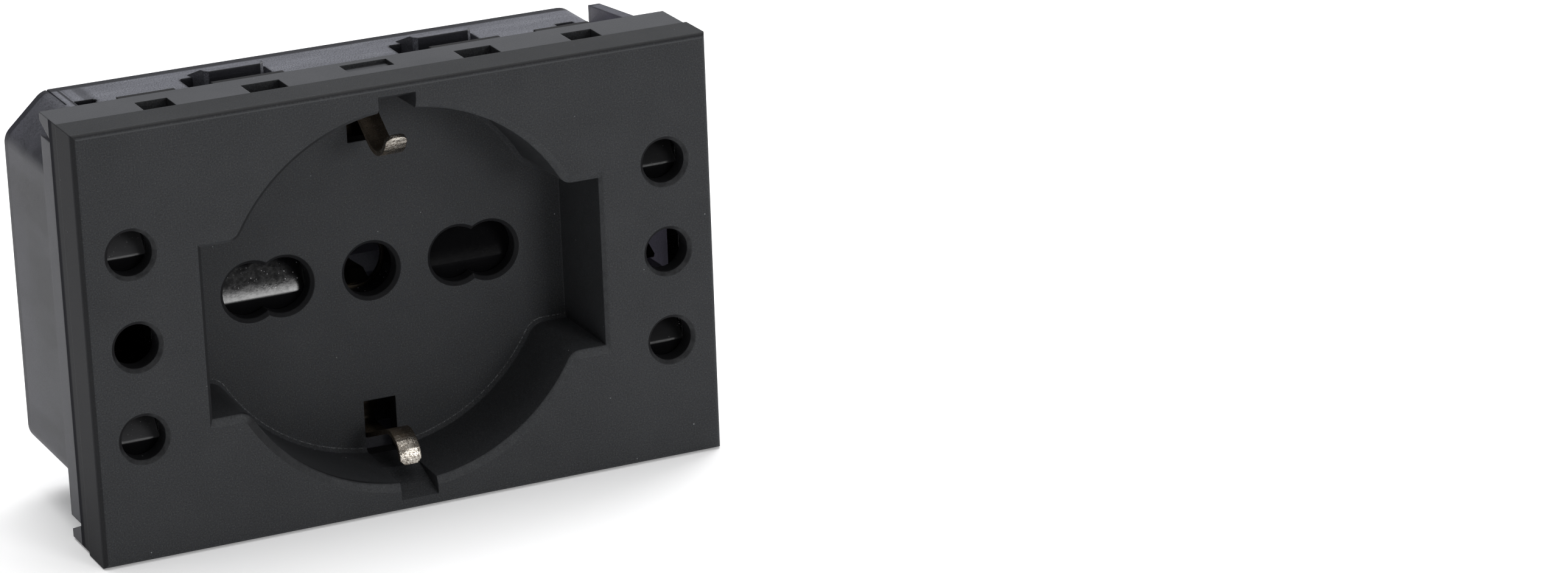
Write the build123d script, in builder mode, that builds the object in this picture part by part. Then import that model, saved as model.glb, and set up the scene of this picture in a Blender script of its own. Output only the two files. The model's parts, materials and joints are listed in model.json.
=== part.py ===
from build123d import *
from math import cos, pi, sin
import os

os.makedirs("parts", exist_ok=True)

# A three-module flush socket: a round earthed socket between two rows of three pin holes.
# Millimetres. X runs right, Y runs away from the front face and Z runs up.
# The origin is the centre of the front face.

# Cover
cover_width = 67.5
cover_height = 45.0
cover_depth = 10.2
band_depth = 4.7
band_step = 0.15
plate_thickness = 2.2
cover_wall = 1.5
rim_wall = 0.85
cover_lip = 1.25
edge_radius = 0.6
hole_bevel = 0.4
side_wall_depth = 7.3
land_depth = 0.7

# Round recess with its two ears
recess_radius = 19.7
recess_depth = 10.2
recess_draft = 1.6
recess_wall = 1.2
ear_reach = 21.35
ear_half_height = 9.0
throat_radius = 1.6
floor_thickness = 1.8
lip_bevel = 0.4
notch_half_width = 2.0
notch_reach = 21.35
notch_depth = 5.4

# Pin holes, by the pitches of the plugs they take
narrow_pitch = 19.0
wide_pitch = 26.0
round_pin_radius = 2.5
pin_length = 19.0
floor_hole_radius = 2.95
earth_hole_radius = 2.85
side_margin = 5.15
side_pitch = 9.6
side_hole_radius = 2.3
side_pin_radius = 2.0

# Earth clips and the windows they stand in
clip_width = 3.2
tongue_width = 2.3
strip_thickness = 0.5
window_half_width = 1.75
window_start = 13.9
window_end = 19.8

# Rear housing
housing_inset = 0.75
housing_height = 40.0
housing_wall = 1.4
housing_rear = 25.7
corner_run = 4.3
corner_drop = 4.0
corner_radius = 2.0
flange_inset = 0.15
block_half_width = 21.0
block_bottom = -7.0
block_top = 15.2
block_rear = 33.4
wall_gap = 0.2

# Contact carrier, from the front: shutter, earth strip, plate, bars
floor_back = recess_depth + floor_thickness
running_gap = 0.3
shutter_thickness = 2.6
shutter_front = floor_back + running_gap
shutter_back = shutter_front + shutter_thickness
strip_front = shutter_back + running_gap
metal = 0.6
carrier_front = strip_front + metal
carrier_plate = 1.6
carrier_back = carrier_front + carrier_plate
tower_front = 6.0
tower_inside = 4.2
tower_outside = 2.8
tower_half_height = 13.0
tower_wall = 0.8

# Shutters
shutter_rim = 1.25
guide_gap = 0.3
guide_wall = 1.0
central_travel = 6.2
side_shutter_front = 2.5
side_shutter_back = 5.4
side_travel = 4.7
side_slot_width = 4.6
side_rail = 0.7
side_shutter_bottom = -13.6
side_shutter_top = 17.8
central_shutter_bottom = -4.6
central_shutter_top = 10.2
stop_gap = 0.2

# Terminals
terminal_pitch = 13.0
terminal_height = 9.5
terminal_front = 25.8
terminal_plate = 1.5
terminal_half_width = 5.6
terminal_low = 5.0
terminal_high = 13.2
wire_gap = 2.7
clamp_thickness = 1.2
clamp_half_width = 5.4
clamp_half_height = 3.3
screw_radius = 1.75
screw_clearance = 0.05
screw_length = 7.0
head_radius = 3.0
head_height = 2.2
wire_hole_radius = 1.8
wire_offset = 3.4
wire_diameter = 2.6

housing_width = cover_width - 2 * housing_inset
flange_width = cover_width - 2 * flange_inset
side_column = cover_width / 2 - side_margin
tower_inner = side_column - tower_inside
tower_outer = side_column + tower_outside
shutter_half_width = wide_pitch / 2 + floor_hole_radius + shutter_rim
side_wall_inside = cover_width / 2 - cover_wall - 0.1
housing_inside_x = housing_width / 2 - housing_wall
housing_inside_z = housing_height / 2 - housing_wall
pin_columns = (narrow_pitch / 2, wide_pitch / 2)
central_column = (narrow_pitch + wide_pitch) / 4
pin_reach = recess_depth + pin_length


def facing(depth):
    return Plane.XZ.offset(-depth)


def block(x_span, y_span, z_span, mode=Mode.ADD):
    middle = [(span[0] + span[1]) / 2 for span in (x_span, y_span, z_span)]
    size = [span[1] - span[0] for span in (x_span, y_span, z_span)]
    with Locations(tuple(middle)):
        Box(size[0], size[1], size[2], mode=mode)


def mirrored(side, near, far):
    return (near, far) if side > 0 else (-far, -near)


def rims(builder, depth, radius):
    # the round rims of about this radius at this depth
    edges = builder.edges().filter_by_position(Axis.Y, depth - 0.01, depth + 0.01)
    return edges.filter_by(GeomType.CIRCLE).filter_by(lambda edge: edge.radius < radius + 0.1)


def finish(builder, name):
    builder.part.label = name
    export_step(builder.part, f"parts/{name}.step")


def lower_edges(builder, front, height):
    # the level edges of the front face at this height
    edges = builder.edges().filter_by(Axis.X).filter_by_position(Axis.Y, front - 0.01, front + 0.01)
    return edges.filter_by_position(Axis.Z, height - 0.01, height + 0.01)


def housing_points():
    half_x = housing_width / 2
    half_z = housing_height / 2
    near_x = half_x - corner_run
    near_z = half_z - corner_drop
    return [
        (-near_x, half_z), (near_x, half_z), (half_x, near_z), (half_x, -near_z),
        (near_x, -half_z), (-near_x, -half_z), (-half_x, -near_z), (-half_x, near_z),
    ]


# Front cover: plate, band, recess, pin holes, frame slots and catches
slot_columns = ((9.4, 13.4), (21.15, 24.5))
slot_span = (5.05, 8.05)
land_columns = ((7.9, 15.5), (19.4, 25.4))
pocket_half_width = 2.5
pocket_span = (6.8, 9.2)
pocket_depth = 0.5
catch_column = (22.9, 24.2)
catch_span = (16.9, 18.2)
catch_hook = (12.9, 14.4)
catch_reach = 19.3
rail_column = (24.4, 25.2)
rail_half_height = 19.5

with BuildPart() as front_cover:
    with BuildSketch(facing(0)):
        Rectangle(cover_width, cover_height)
    extrude(amount=-band_depth)
    fillet(front_cover.edges().group_by(Axis.Y)[0], edge_radius)
    with BuildSketch(facing(band_depth)):
        Rectangle(cover_width - 2 * band_step, cover_height - 2 * band_step)
    extrude(amount=-(cover_depth - band_depth))
    inner_half = cover_height / 2 - band_step - rim_wall - cover_lip
    open_half = inner_half + cover_lip
    with BuildSketch(Plane.YZ.offset(-side_wall_inside)):
        with BuildLine():
            Polyline(
                (plate_thickness, -inner_half), (side_wall_depth, -inner_half),
                (cover_depth, -open_half), (cover_depth, open_half),
                (side_wall_depth, inner_half), (plate_thickness, inner_half), close=True,
            )
        make_face()
    extrude(amount=2 * side_wall_inside, mode=Mode.SUBTRACT)
    # the side walls are shorter, which leaves a foot at each rear corner
    with BuildSketch(Plane.YZ):
        with BuildLine():
            Polyline(
                (side_wall_depth, -inner_half), (cover_depth, -open_half),
                (cover_depth, open_half), (side_wall_depth, inner_half), close=True,
            )
        make_face()
    extrude(amount=cover_width, both=True, mode=Mode.SUBTRACT)
    # the wall and floor that the recess is cut into
    with BuildSketch(facing(plate_thickness)):
        Circle(recess_radius + recess_wall)
        Rectangle(2 * (ear_reach + recess_wall), 2 * (ear_half_height + recess_wall))
    extrude(amount=-(recess_depth - plate_thickness))
    with BuildSketch(facing(recess_depth)):
        Circle(recess_radius + 0.2)
        Rectangle(2 * (ear_reach + recess_wall), 2 * (ear_half_height + recess_wall))
    extrude(amount=-floor_thickness)
    for side in (-1, 1):
        block(
            (-notch_half_width - recess_wall, notch_half_width + recess_wall),
            (plate_thickness, recess_depth), mirrored(side, recess_radius, inner_half + 0.5),
        )
    with BuildSketch(facing(0)) as recess_outline:
        Circle(recess_radius)
        Rectangle(2 * ear_reach, 2 * ear_half_height)
        # the corners where the ears leave the circle are eased, their outer ones are sharp
        fillet(recess_outline.vertices().filter_by(
            lambda corner: abs(corner.X) < ear_reach - 0.1), throat_radius)
    extrude(amount=-recess_depth, taper=recess_draft, mode=Mode.SUBTRACT)
    chamfer(
        front_cover.edges().filter_by_position(Axis.Y, -0.01, 0.01)
        .filter_by(lambda edge: abs(edge.center().Z) < recess_radius + 1
                   and abs(edge.center().X) < ear_reach + 1),
        lip_bevel,
    )
    # notch ramps at the rim, and the windows and wall slots that the earth clips stand in
    for side in (-1, 1):
        with BuildSketch(Plane.YZ.offset(-notch_half_width)):
            with BuildLine():
                Polyline(
                    (-1, side * (notch_reach + 0.34)), (0, side * notch_reach),
                    (notch_depth, side * (recess_radius - 0.3)),
                    (notch_depth, side * window_start), (-1, side * window_start), close=True,
                )
            make_face()
        extrude(amount=2 * notch_half_width, mode=Mode.SUBTRACT)
        with BuildSketch(Plane.YZ.offset(-window_half_width)):
            with BuildLine():
                Polyline(
                    (notch_depth, side * (recess_radius - 0.3)), (recess_depth, side * window_end),
                    (floor_back + 1, side * window_end), (floor_back + 1, side * window_start),
                    (recess_depth - 0.5, side * window_start), close=True,
                )
            make_face()
        extrude(amount=2 * window_half_width, mode=Mode.SUBTRACT)
    # pin holes in the floor
    with BuildSketch(facing(recess_depth - 0.5)):
        Circle(earth_hole_radius)
        with Locations(*[(side * column, 0) for side in (-1, 1) for column in pin_columns]):
            Circle(floor_hole_radius)
    extrude(amount=-(floor_thickness + 1), mode=Mode.SUBTRACT)
    chamfer(rims(front_cover, recess_depth, floor_hole_radius), hole_bevel)
    # pin holes in the plate
    side_spots = [(side * side_column, step * side_pitch) for side in (-1, 1) for step in (-1, 0, 1)]
    with BuildSketch(facing(-0.5)):
        with Locations(*side_spots):
            Circle(side_hole_radius)
    extrude(amount=-(plate_thickness + 1), mode=Mode.SUBTRACT)
    chamfer(rims(front_cover, 0, side_hole_radius), lip_bevel)
    # slots, lands and catches along the top and bottom
    for side in (-1, 1):
        for flank in (-1, 1):
            for column in slot_columns:
                block(
                    mirrored(flank, *column), slot_span,
                    mirrored(side, inner_half - 0.5, cover_height / 2 + 1), Mode.SUBTRACT,
                )
            for column in land_columns:
                block(
                    mirrored(flank, *column), (cover_depth - 0.5, cover_depth + land_depth),
                    mirrored(side, open_half + 0.1, cover_height / 2 - band_step),
                )
            block(
                mirrored(flank, *catch_column), (plate_thickness, catch_hook[1]),
                mirrored(side, *catch_span),
            )
            block(
                mirrored(flank, *catch_column), catch_hook,
                mirrored(side, catch_span[1] - 0.1, catch_reach),
            )
    block(
        (-pocket_half_width, pocket_half_width), pocket_span,
        (cover_height / 2 - band_step - pocket_depth, cover_height / 2), Mode.SUBTRACT,
    )
    for side in (-1, 1):
        block(
            mirrored(side, *rail_column), (plate_thickness, side_shutter_back + running_gap),
            (-rail_half_height, rail_half_height),
        )
        # stop that the side shutter rests against
        block(
            mirrored(side, side_column - 2, side_column + 2),
            (plate_thickness - 0.1, side_shutter_back),
            (side_shutter_top + stop_gap, side_shutter_top + stop_gap + 1),
        )
finish(front_cover, "front_cover")


# Rear housing: flange, chamfered case, terminal block, latches and windows
latch_offset = 22.75
latch_window = (-15.5, -6.3)
latch_window_span = (16.5, 21.1)
latch_column = (-13.5, -7.1)
latch_front = 18.5
latch_back = 22.1
latch_flat = 1.0
latch_height = 1.1
latch_corner = 0.45
window_corner = 0.3
latch_splay = 0.7
catch_window = (22.7, 24.4)
catch_window_span = (12.7, 14.7)
lug_column = (25.4, 27.0)
lug_window_span = (15.6, 19.2)
recess_room = recess_radius + recess_wall + 0.4
post_column = (23.5, 25.5)
post_row = (16.3, 18.3)
partition = 0.9
screw_hole_radius = head_radius + 0.3
stop_front = pin_reach + 1.3
key_column = (31.3, 32.6)
key_rear = 24.4
key_low = 16.6
key_peak = 1.0
seam_column = (-28.3, -28.1)
seam_depth = 0.15
seam_start = 18.7
drain_column = (-27.0, -25.0)
drain_span = (18.3, 18.95)
roof_rib_columns = (-4.2, 4.2)
wall_rib_rows = (-12.6, -4.8, 4.8, 12.6)
rib_width = 0.8
rib_height = 0.6
block_inside_rear = block_rear - housing_wall


def latch(side, shift):
    # a snap tooth that reaches forward into its window, with a ramp behind its edge
    half = housing_height / 2
    root = half - housing_wall
    left = latch_column[0] + shift
    right = latch_column[1] + shift
    with BuildSketch(Plane.XY.offset(side * (root - 0.5))) as window:
        with Locations((shift + sum(latch_window) / 2, sum(latch_window_span) / 2)):
            Rectangle(
                latch_window[1] - latch_window[0], latch_window_span[1] - latch_window_span[0])
        chamfer(window.vertices(), window_corner)
    extrude(window.sketch, amount=side * (housing_wall + 1), mode=Mode.SUBTRACT)
    with BuildSketch(Plane.XY.offset(side * root)) as plan:
        with BuildLine():
            Polyline(
                (left + latch_corner, latch_front), (left, latch_front + latch_corner),
                (left - latch_splay, latch_back), (right, latch_back),
                (right, latch_front + latch_corner), (right - latch_corner, latch_front),
                close=True,
            )
        make_face()
    with BuildSketch(Plane.YZ.offset(left - 1)) as slope:
        with BuildLine():
            Polyline(
                (latch_front, side * root), (latch_front, side * (half + latch_height)),
                (latch_front + latch_flat, side * (half + latch_height)),
                (latch_back, side * half), (latch_back, side * root), close=True,
            )
        make_face()
    tooth = extrude(plan.sketch, amount=side * (housing_wall + latch_height), mode=Mode.PRIVATE)
    ramp = extrude(slope.sketch, amount=right - left + 2, mode=Mode.PRIVATE)
    add(tooth & ramp)


with BuildPart() as rear_housing:
    with BuildSketch(facing(side_wall_depth)) as case_outline:
        with BuildLine():
            Polyline(*housing_points(), close=True)
        make_face()
        fillet(case_outline.vertices(), corner_radius)
    extrude(amount=-(housing_rear - side_wall_depth))
    chamfer(rear_housing.edges().group_by(Axis.Y)[-1], 0.8)
    with BuildSketch(facing(side_wall_depth)):
        Rectangle(flange_width, housing_height)
    extrude(amount=-(cover_depth - side_wall_depth))
    with BuildSketch(facing(housing_rear - housing_wall)):
        with Locations((0, (block_top + block_bottom) / 2)):
            RectangleRounded(2 * block_half_width, block_top - block_bottom, corner_radius)
    extrude(amount=-(block_rear - housing_rear + housing_wall))
    chamfer(rear_housing.edges().group_by(Axis.Y)[-1], 0.8)
    with BuildSketch(facing(side_wall_depth)) as case_inside:
        with BuildLine():
            Polyline(*housing_points(), close=True)
        make_face()
        offset(amount=-housing_wall, kind=Kind.INTERSECTION)
    extrude(amount=-(housing_rear - housing_wall - side_wall_depth), mode=Mode.SUBTRACT)
    block(
        (housing_wall - block_half_width, block_half_width - housing_wall),
        (housing_rear - housing_wall - 1, block_inside_rear),
        (block_bottom + housing_wall, block_top - housing_wall), Mode.SUBTRACT,
    )
    # room for the recess of the cover
    with BuildSketch(facing(side_wall_depth)):
        Circle(recess_room)
    extrude(amount=-(floor_back + running_gap - side_wall_depth), mode=Mode.SUBTRACT)
    for side in (-1, 1):
        latch(side, 0)
        latch(side, latch_offset)
        for flank in (-1, 1):
            wall_span = mirrored(side, housing_inside_z - 0.5, housing_height / 2 + 0.5)
            block(mirrored(flank, *catch_window), catch_window_span, wall_span, Mode.SUBTRACT)
            block(
                mirrored(flank, lug_column[0] - wall_gap, lug_column[1] + wall_gap),
                lug_window_span, wall_span, Mode.SUBTRACT,
            )
            block(
                mirrored(flank, *post_column), (carrier_back, housing_rear - housing_wall),
                mirrored(side, *post_row),
            )
    # corner key on the right, seam and drain slot on the left
    key_top = housing_height / 2
    with BuildSketch(Plane.YZ.offset(key_column[0])):
        with BuildLine():
            Polyline(
                (cover_depth, key_low), (key_rear, key_low), (key_rear, key_top - 0.1),
                (cover_depth + 2.2, key_top + key_peak), (cover_depth + 1.2, key_top),
                (cover_depth, key_top), close=True,
            )
        make_face()
    extrude(amount=key_column[1] - key_column[0])
    block(
        seam_column, (seam_start, housing_rear + 1),
        (housing_height / 2 - seam_depth, housing_height / 2 + 1), Mode.SUBTRACT,
    )
    block(
        drain_column, drain_span, (housing_inside_z - 0.5, housing_height / 2 + 1), Mode.SUBTRACT,
    )
    # stiffening ribs inside the roof, the floor and the side walls
    rib_span = (carrier_back + running_gap, housing_rear - housing_wall + 0.1)
    for side in (-1, 1):
        for column in roof_rib_columns:
            block(
                (column - rib_width / 2, column + rib_width / 2), rib_span,
                mirrored(side, housing_inside_z - rib_height, housing_inside_z + 0.1),
            )
        for row in wall_rib_rows:
            block(
                mirrored(side, housing_inside_x - rib_height, housing_inside_x + 0.1), rib_span,
                (row - rib_width / 2, row + rib_width / 2),
            )
    # terminal block: partitions, contact stops, screw holes and wire entries
    for flank in (-1, 1):
        block(
            mirrored(flank, (terminal_pitch - partition) / 2, (terminal_pitch + partition) / 2),
            (housing_rear - housing_wall, block_inside_rear),
            (terminal_low - 0.4, block_top - housing_wall),
        )
        block(
            mirrored(flank, central_column - 2, central_column + 2),
            (stop_front, block_inside_rear), (-1, 1),
        )
    block((-1.5, 1.5), (stop_front, block_inside_rear), (-1, 1))
    terminal_spots = [(step * terminal_pitch, terminal_height) for step in (-1, 0, 1)]
    with BuildSketch(facing(block_inside_rear - 0.5)):
        with Locations(*terminal_spots):
            Circle(screw_hole_radius)
    extrude(amount=-(housing_wall + 1), mode=Mode.SUBTRACT)
    wire_depth = terminal_front + terminal_plate + wire_diameter / 2
    with BuildSketch(Plane.XY.offset(block_top - housing_wall - 0.5)):
        with Locations(*[(step * terminal_pitch + flank * wire_offset, wire_depth)
                         for step in (-1, 0, 1) for flank in (-1, 1)]):
            Circle(wire_hole_radius)
    extrude(amount=housing_wall + 1, mode=Mode.SUBTRACT)
finish(rear_housing, "rear_housing")


# Contact carrier: plate with a tower of three chambers at each side
guide_column = (shutter_half_width + guide_gap, shutter_half_width + guide_gap + guide_wall)
guide_half_height = 12.0
seat_row = (-14.2, -13.0)
arm_row = (5.2, 8.2)
pin_room = 0.4
middle_reach = side_pitch / 2 - tower_wall / 2
end_trim = 1.0
tail_half_width = 1.5
tail_half_height = 0.4
tail_room = 0.3

with BuildPart() as contact_carrier:
    with BuildSketch(facing(carrier_front)):
        with BuildLine():
            Polyline(*housing_points(), close=True)
        make_face()
        offset(amount=-housing_wall - wall_gap, kind=Kind.INTERSECTION)
    extrude(amount=-carrier_plate)
    for side in (-1, 1):
        block(
            mirrored(side, tower_inner, tower_outer), (tower_front, carrier_front + 0.1),
            (-tower_half_height, tower_half_height),
        )
        for step in (-1, 0, 1):
            middle = step * side_pitch
            block(
                mirrored(side, tower_inner + tower_wall, tower_outer - tower_wall / 2),
                (tower_front - 1, carrier_front),
                (middle - middle_reach + (end_trim if step < 0 else 0),
                 middle + middle_reach - (end_trim if step > 0 else 0)),
                Mode.SUBTRACT,
            )
        for step in (-1, 1):
            block(
                mirrored(side, side_column - tail_half_width - tail_room,
                         side_column + tail_half_width + tail_room),
                (carrier_front - 0.5, carrier_back + 0.5),
                (step * side_pitch - tail_half_height - tail_room,
                 step * side_pitch + tail_half_height + tail_room),
                Mode.SUBTRACT,
            )
        block(
            mirrored(side, tower_inner - 0.5, tower_inner + tower_wall + 0.5),
            (strip_front - 0.2, carrier_front), (-2, 2), Mode.SUBTRACT,
        )
        # the middle chamber is open at its outer side
        block(
            mirrored(side, tower_outer - tower_wall, tower_outer + 0.5),
            (tower_front - 1, carrier_front), (-middle_reach, middle_reach), Mode.SUBTRACT,
        )
        block(
            mirrored(side, *guide_column), (shutter_front, carrier_front + 0.1),
            (-guide_half_height, guide_half_height),
        )
        block(
            mirrored(side, guide_column[0] - 0.5, guide_column[1] + 0.5),
            (strip_front - 0.2, carrier_front), (arm_row[0] - 0.3, arm_row[1] + 0.3), Mode.SUBTRACT,
        )
        # openings for the round pins of the central socket
        block(
            mirrored(side, pin_columns[0] - floor_hole_radius - pin_room,
                     pin_columns[1] + floor_hole_radius + pin_room),
            (carrier_front - 1, carrier_back + 1),
            (-floor_hole_radius - pin_room, floor_hole_radius + 2), Mode.SUBTRACT,
        )
        for flank in (-1, 1):
            block(
                mirrored(flank, *lug_column), (carrier_front, carrier_back),
                mirrored(side, housing_inside_z - 1, housing_height / 2 - 0.5),
            )
    block((-4.2, 4.2), (carrier_front - 1, carrier_back + 1), (-4.2, arm_row[1] + 0.4), Mode.SUBTRACT)
    # seat of the central shutter spring and stop of the shutter, both bridging the earth strip
    block((-3.2, 3.2), (shutter_front, carrier_front + 0.1), seat_row)
    block(
        (-guide_column[0] - 0.5, guide_column[0] + 0.5), (shutter_front, carrier_front + 0.1),
        (central_shutter_top + stop_gap, central_shutter_top + stop_gap + 1),
    )
    block(
        (-clip_width / 2 - 0.2, clip_width / 2 + 0.2), (strip_front - 0.2, carrier_front),
        (seat_row[0] - 0.5, central_shutter_top + 2), Mode.SUBTRACT,
    )
finish(contact_carrier, "contact_carrier")


# Central shutter: slanted faces close the two pin openings and slide down under the pins
ramp_half = floor_hole_radius + 0.15
ramp_edge = -1.5
ramp_round = 0.6
central_open = 2 * round_pin_radius + 0.8
earth_room = 3.2

with BuildPart() as central_shutter:
    top_open = ramp_half + central_open
    block(
        (-shutter_half_width, shutter_half_width), (shutter_front, shutter_back),
        (central_shutter_bottom, central_shutter_top),
    )
    for side in (-1, 1):
        inner_edge = pin_columns[0] - floor_hole_radius - 0.2
        outer_edge = pin_columns[1] + floor_hole_radius + 0.2
        block(
            mirrored(side, inner_edge, outer_edge), (shutter_front - 1, shutter_back + 1),
            (ramp_half, top_open), Mode.SUBTRACT,
        )
        start = inner_edge if side > 0 else -outer_edge
        with BuildSketch(Plane.YZ.offset(start)):
            with BuildLine():
                Polyline(
                    (shutter_front, ramp_edge), (shutter_front, ramp_half + 0.1),
                    (shutter_back - 0.5, ramp_half + 0.1), close=True,
                )
            make_face()
        extrude(amount=outer_edge - inner_edge, mode=Mode.SUBTRACT)
    fillet(lower_edges(central_shutter, shutter_front, ramp_edge), ramp_round)
    with BuildSketch(facing(shutter_front - 0.5)):
        with Locations((0, central_travel / 2)):
            SlotCenterToCenter(central_travel, 2 * earth_room, rotation=90)
    extrude(amount=-(shutter_thickness + 1), mode=Mode.SUBTRACT)
finish(central_shutter, "central_shutter")


# Side shutters: a slide with two slanted faces and long slots between them
side_ramp_edge = -0.9


def side_shutter(side, name):
    start = side_column - side_slot_width / 2 if side > 0 else -side_column - side_slot_width / 2
    ramp_low = side_travel - side_slot_width / 2 + 0.2
    ramp_high = side_slot_width / 2 + 0.1
    with BuildPart() as shutter:
        block(
            mirrored(side, side_column - side_slot_width / 2 - side_rail,
                     side_column + side_slot_width / 2 + side_rail),
            (side_shutter_front, side_shutter_back), (side_shutter_bottom, side_shutter_top),
        )
        slot_x = (start, start + side_slot_width)
        through = (side_shutter_front - 1, side_shutter_back + 1)
        block(
            slot_x, through, (-side_pitch + ramp_high, side_pitch - ramp_low), Mode.SUBTRACT,
        )
        block(
            slot_x, through, (side_pitch + ramp_high, side_shutter_top - 1.2), Mode.SUBTRACT,
        )
        for step in (-1, 1):
            low = step * side_pitch + side_ramp_edge
            high = step * side_pitch + ramp_high
            with BuildSketch(Plane.YZ.offset(start)):
                with BuildLine():
                    Polyline(
                        (side_shutter_front, low), (side_shutter_front, high + 0.1),
                        (side_shutter_back - 0.5, high + 0.1), close=True,
                    )
                make_face()
            extrude(amount=side_slot_width, mode=Mode.SUBTRACT)
            fillet(lower_edges(shutter, side_shutter_front, low), ramp_round)
    finish(shutter, name)


side_shutter(-1, "left_shutter")
side_shutter(1, "right_shutter")


# Return springs, coiled about an upright axis
wire_radius = 0.2
coil_radius = 0.95
coil_turns = 4
coil_bends = 8


def return_spring(name, x, y, bottom, top):
    height = top - bottom - 2 * wire_radius
    with BuildPart() as spring:
        # the coil is a helix of short straight bends
        with BuildLine(Plane((x, y, bottom + wire_radius))) as path:
            Polyline(*[
                (
                    coil_radius * cos(2 * pi * step / coil_bends),
                    coil_radius * sin(2 * pi * step / coil_bends),
                    height * step / coil_bends / coil_turns,
                )
                for step in range(coil_bends * coil_turns + 1)
            ])
        with BuildSketch(Plane(origin=path.line @ 0, z_dir=path.line % 0)):
            RegularPolygon(wire_radius, 4)
        sweep(transition=Transition.RIGHT)
    finish(spring, name)


side_spring_depth = (side_shutter_front + side_shutter_back) / 2
central_spring_depth = (shutter_front + shutter_back) / 2
return_spring("left_shutter_spring", -side_column, side_spring_depth, -inner_half, side_shutter_bottom)
return_spring("right_shutter_spring", side_column, side_spring_depth, -inner_half, side_shutter_bottom)
return_spring("central_shutter_spring", 0, central_spring_depth, seat_row[1], central_shutter_bottom)


# Earth clips: one strip behind the shutter whose two ends spring forward through the windows
clip_bend = 18.2
clip_root = 16.2
clip_depth = strip_front + strip_thickness / 2
upper_clip = [(clip_depth, clip_root), (clip_depth, clip_bend), (10.47, clip_bend),
              (2.96, 13.05), (0.78, 16.83)]
upper_bends = [0.8, 0.9, 3.2]
lower_clip = [(clip_depth, clip_root), (clip_depth, clip_bend), (11.64, clip_bend),
              (4.95, 15.57), (2.45, 16.7), (2.3, 18.45)]
lower_bends = [0.8, 1.5, 2.3, 1.9]
upper_tip = 0.75
lower_tip = 0.45


def tip_edges(builder, side):
    # the short edges at the free end of a clip
    edges = builder.edges().filter_by(lambda edge: abs(edge.length - strip_thickness) < 0.01)
    return edges.filter_by(lambda edge: edge.center().Y < 3 and side * edge.center().Z > 15)


with BuildPart() as earth_clip_strip:
    with BuildSketch(facing(strip_front)):
        Rectangle(clip_width, 2 * (clip_root + 0.6))
        Circle(earth_hole_radius + 1.2)
    extrude(amount=-metal)
    for side, clip, bends in ((1, upper_clip, upper_bends), (-1, lower_clip, lower_bends)):
        with BuildSketch(Plane.YZ):
            with BuildLine():
                FilletPolyline(*[(y, side * z) for y, z in clip], radius=bends)
            trace(line_width=strip_thickness)
        extrude(amount=tongue_width / 2, both=True)
    fillet(tip_edges(earth_clip_strip, 1), upper_tip)
    chamfer(tip_edges(earth_clip_strip, -1), lower_tip)
    with BuildSketch(facing(strip_front - 0.5)):
        Circle(earth_hole_radius + 0.2)
    extrude(amount=-(metal + 1), mode=Mode.SUBTRACT)
finish(earth_clip_strip, "earth_clip_strip")


# Earth link: plate arms from the clip strip to the side earth contacts and the terminal
link_front = carrier_front
arm_end = side_column + 1.6
arm_column = (21.8, 23.2)
arm_half_height = 1.5
bridge_half_width = 2.6


def contact(name, x, z, mouth, base, half_width, throat, seat=0.0, wing=0.0):
    # two sprung leaves joined by a base, open towards the front
    flare = throat + 0.9
    root = throat + 0.5
    half_outline = [
        (mouth, flare), (mouth + 1.8, throat), (base - 3, root),
        (base - leaf_bend, root), (base, root - leaf_bend),
    ]
    outline = half_outline + [(y, -height) for y, height in reversed(half_outline)]
    with BuildPart() as leaves:
        with BuildSketch(Plane.YZ.offset(x)):
            with BuildLine():
                Polyline(*[(y, z + height) for y, height in outline])
            trace(line_width=strip_thickness)
        extrude(amount=half_width, both=True)
        if wing:
            # each leaf is slit so that the two pin pitches are gripped on their own
            block(
                (x - slit_width / 2, x + slit_width / 2), (mouth - 1, base - 2),
                (-flare - 1, flare + 1), Mode.SUBTRACT,
            )
            block(
                (x - side_half_width, x + side_half_width),
                (base - strip_thickness / 2, base + strip_thickness / 2), (throat, wing),
            )
        if seat:
            block(
                (x - tail_half_width, x + tail_half_width), (base, seat),
                (z - tail_half_height, z + tail_half_height),
            )
    finish(leaves, name)


leaf_bend = 0.6
side_mouth = 8.0
side_base = carrier_front - strip_thickness / 2
earth_base = strip_front - strip_thickness / 2
throat_side = side_pin_radius + 0.15
throat_round = round_pin_radius - 0.1
side_half_width = 1.9
slit_width = 0.6
contact_riser = (4.0, 4.6)
for side, word in ((-1, "left"), (1, "right")):
    x = side * side_column
    contact(f"{word}_live_contact", x, side_pitch, side_mouth, side_base, side_half_width,
            throat_side, seat=carrier_back)
    contact(f"{word}_neutral_contact", x, -side_pitch, side_mouth, side_base, side_half_width,
            throat_side, seat=carrier_back)
    contact(f"{word}_earth_contact", x, 0, side_mouth, earth_base, side_half_width, throat_side)

central_mouth = carrier_back + 0.4
central_base = pin_reach + 0.7
central_half_width = 4.05
contact("central_live_contact", -central_column, 0, central_mouth, central_base,
        central_half_width, throat_round, wing=contact_riser[0])
contact("central_neutral_contact", central_column, 0, central_mouth, central_base,
        central_half_width, throat_round, wing=contact_riser[0])
contact("central_earth_contact", 0, 0, carrier_front + 0.25, central_base, side_half_width,
        throat_round)

with BuildPart() as earth_link:
    for side in (-1, 1):
        strip = (strip_front, link_front)
        block(mirrored(side, clip_width / 2, arm_column[1]), strip, arm_row)
        block(mirrored(side, *arm_column), strip, (-arm_half_height, arm_row[1]))
        block(mirrored(side, arm_column[0], arm_end), strip, (-arm_half_height, arm_half_height))
    block(
        (-bridge_half_width, bridge_half_width), (link_front, link_front + metal),
        (arm_row[0] + metal, arm_row[1]),
    )
finish(earth_link, "earth_link")


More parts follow.
